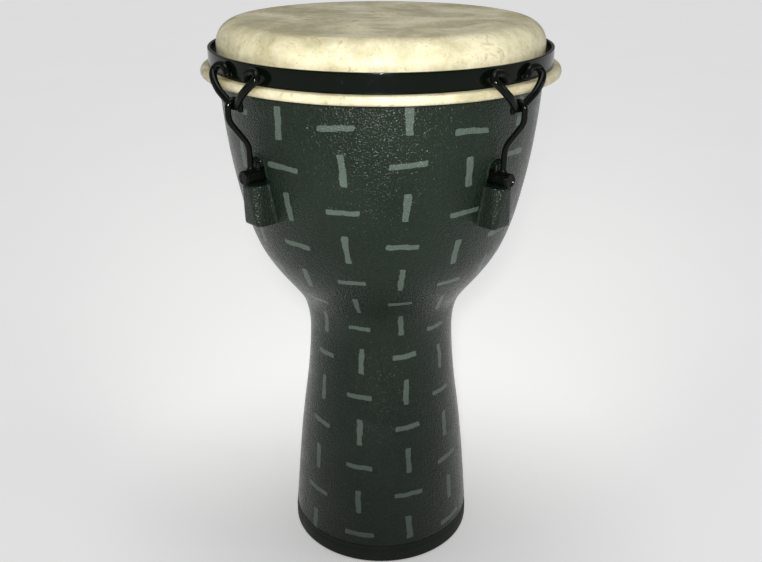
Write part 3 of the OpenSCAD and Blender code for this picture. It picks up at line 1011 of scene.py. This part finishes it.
def barrel_mesh(name, material):
    """A cross barrel, turned about the station's own radius."""
    length = BARREL_OUT - BARREL_IN
    edge = 0.9
    profile = [(0.0, 0.0), (BARREL_RADIUS - edge, 0.0)]
    profile += arc_points(BARREL_RADIUS - edge, edge, edge, -90, 0, 4)[1:]
    profile += [(BARREL_RADIUS, along) for along in (5.0, 12.0, 19.0, length - 2.6)]
    profile += [(BARREL_RADIUS - 0.25, length - 2.3), (BARREL_RADIUS, length - 2.0)]
    profile += arc_points(BARREL_RADIUS - edge, length - edge, edge, 0, 90, 4)
    profile += [(3.9, length - 0.05), (3.5, length - 0.6), (2.2, length - 0.85)]
    profile += [(1.7, length - 0.7), (0.0, length - 0.6)]
    count = 56
    verts, faces = [], []
    rows = len(profile)
    for i in range(count):
        a = 2 * math.pi * i / count
        for r, h in profile[1:-1]:
            verts.append(((BARREL_IN + h) * MM, r * math.cos(a) * MM, (BARREL_HEIGHT + r * math.sin(a)) * MM))
    inner = rows - 2
    for i in range(count):
        j = (i + 1) % count
        for k in range(inner - 1):
            faces.append((i * inner + k, i * inner + k + 1, j * inner + k + 1, j * inner + k))
    verts.append(((BARREL_IN + profile[0][1]) * MM, 0, BARREL_HEIGHT * MM))
    verts.append(((BARREL_IN + profile[-1][1]) * MM, 0, BARREL_HEIGHT * MM))
    a, b = len(verts) - 2, len(verts) - 1
    for i in range(count):
        j = (i + 1) % count
        faces.append((i * inner, j * inner, a))
        faces.append((j * inner + inner - 1, i * inner + inner - 1, b))
    # Low spot-faced rings where the bolt comes out and goes in, and the peened rod end below.
    rings = []
    for x, low, high, bore, rim in (
        (BOLT_OFFSET, 441.6, 442.75, 3.15, 4.5),
        (BOLT_OFFSET, 429.35, 430.4, 3.15, 4.4),
        (LEG_RADIUS, 429.4, 430.3, 0.4, 3.1),
    ):
        if low > BARREL_HEIGHT:
            ring = [(bore, low), (rim, low), (rim, high - 0.3), (rim - 0.3, high), (bore, high)]
        else:
            ring = [(bore, high), (bore, low), (rim - 0.3, low), (rim, low + 0.3), (rim, high)]
        rings.append(lathe_part(ring, 32, Matrix.Translation((x * MM, 0, 0))))
    verts, faces = moved(joined((verts, faces), *rings), station_matrix(name))
    obj = new_object(f"barrel_nut_body_{name}", verts, faces, material, sharp=35.0)
    return finish_piece(obj, "tension_rim", "barrel_black", f"barrel_nut_{name}")


def threaded_shank(start, end):
    """A shank with a real helical thread (mm in, metres out), round the Z axis."""
    sides, per_turn = 36, 8
    count = int(round((end - start) / THREAD_PITCH * per_turn))
    verts, faces = [], []
    for i in range(count + 1):
        z = start + (end - start) * i / count
        taper = 0.9 * smooth_step(z, end - 1.2, end)
        for k in range(sides):
            phase = (z / THREAD_PITCH - k / sides) % 1.0
            ridge = 1.0 - abs(2.0 * phase - 1.0)
            r = BOLT_RADIUS - THREAD_DEPTH * (1.0 - min(1.0, ridge * 1.25)) - taper
            a = 2 * math.pi * k / sides
            verts.append((r * math.cos(a) * MM, r * math.sin(a) * MM, z * MM))
    for i in range(count):
        for k in range(sides):
            m = (k + 1) % sides
            faces.append((i * sides + k, i * sides + m, (i + 1) * sides + m, (i + 1) * sides + k))
    faces.append(tuple(range(sides))[::-1])
    faces.append(tuple(count * sides + k for k in range(sides)))
    return verts, faces


def square_head(half, low, high):
    """A square drive head with eased edges (mm in, metres out)."""
    ease = 0.5
    outline = []
    for sx, sy in ((1, 1), (-1, 1), (-1, -1), (1, -1)):
        start = {(1, 1): 0, (-1, 1): 90, (-1, -1): 180, (1, -1): 270}[(sx, sy)]
        for step in (0, 30, 60, 90):
            a = math.radians(start + step)
            outline.append((sx * (half - ease) + ease * math.cos(a), sy * (half - ease) + ease * math.sin(a)))
    levels = [(low, 0.88), (low + 0.5, 1.0), (high, 1.0)]
    verts = [(x * k * MM, y * k * MM, z * MM) for z, k in levels for x, y in outline]
    n = len(outline)
    faces = []
    for i in range(len(levels) - 1):
        for k in range(n):
            m = (k + 1) % n
            faces.append((i * n + k, i * n + m, (i + 1) * n + m, (i + 1) * n + k))
    faces.append(tuple(range(n))[::-1])
    faces.append(tuple((len(levels) - 1) * n + k for k in range(n)))
    return verts, faces


def bolt_mesh(name, material):
    """A tuning bolt: threaded shank, flange and square head."""
    seat = BOLT_SEAT
    flange = [(0.3, seat - 1.9), (5.3, seat - 1.9), (6.2, seat - 1.4), (6.4, seat - 0.9)]
    flange += [(6.4, seat - 0.25), (6.15, seat), (0.3, seat)]
    head = square_head(4.0, 393.7, seat - 1.5)
    parts = [threaded_shank(seat - 0.5, BOLT_TIP), lathe_part(flange, 48), head]
    matrix = station_matrix(name) @ Matrix.Translation((BOLT_OFFSET * MM, 0, 0))
    verts, faces = moved(joined(*parts), matrix)
    obj = new_object(f"tuning_bolt_screw_{name}", verts, faces, material, sharp=40.0)
    return finish_piece(obj, f"bolt_{name}", "bolt_steel", f"tuning_bolt_{name}")


def washer_mesh(name, material):
    """The washer between a bolt's flange and its boss."""
    profile = [(3.35, 403.75), (3.5, 403.6), (6.8, 403.6), (7.0, 403.8)]
    profile += [(7.0, 404.8), (6.8, 405.0), (3.5, 405.0), (3.35, 404.85)]
    matrix = station_matrix(name) @ Matrix.Translation((BOLT_OFFSET * MM, 0, 0))
    verts, faces = lathe_part(profile, 48, matrix)
    obj = new_object(f"bolt_washer_disc_{name}", verts, faces, material, sharp=35.0)
    return finish_piece(obj, "drum", "zinc_steel", f"bolt_washer_{name}")


def add_floor(material):
    bpy.ops.mesh.primitive_plane_add(size=60.0, location=(0, 0, 0))
    floor = bpy.context.object
    floor.name = "floor"
    floor.data.materials.append(material)


def dress_nodes():
    """Materials for the two CAD nodes that are shown as they are."""
    fibre, zinc = fibre_material(), bolt_material("zinc_plate", (0.5, 0.5, 0.52), 0.9, 0.32)
    for node, material in (("shell", fibre), ("flesh_hoop", zinc)):
        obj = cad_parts[node]
        obj.data.materials.clear()
        obj.data.materials.append(material)
    return zinc


def build():
    add_camera()
    add_lights()
    add_floor(floor_material())
    zinc = dress_nodes()
    cloth = cloth_material()
    cover_mesh(cloth)
    well_rims(cloth)
    head_mesh(film_material())
    hoop_mesh(gloss_black("hoop_paint", (0.0016, 0.003, 0.0015), 0.14, 0.25))
    foot_mesh(rubber_material())
    rod = gloss_black("rod_paint", (0.0018, 0.0026, 0.0018), 0.15, 0.35)
    barrel = gloss_black("barrel_paint", (0.0022, 0.003, 0.0022), 0.17, 0.5)
    bolt = bolt_material("black_oxide", (0.012, 0.013, 0.012), 0.6, 0.28)
    for name in STATIONS:
        hook_mesh(name, rod)
        draw_rod_mesh(name, rod)
        barrel_mesh(name, barrel)
        bolt_mesh(name, bolt)
        washer_mesh(name, zinc)


build()
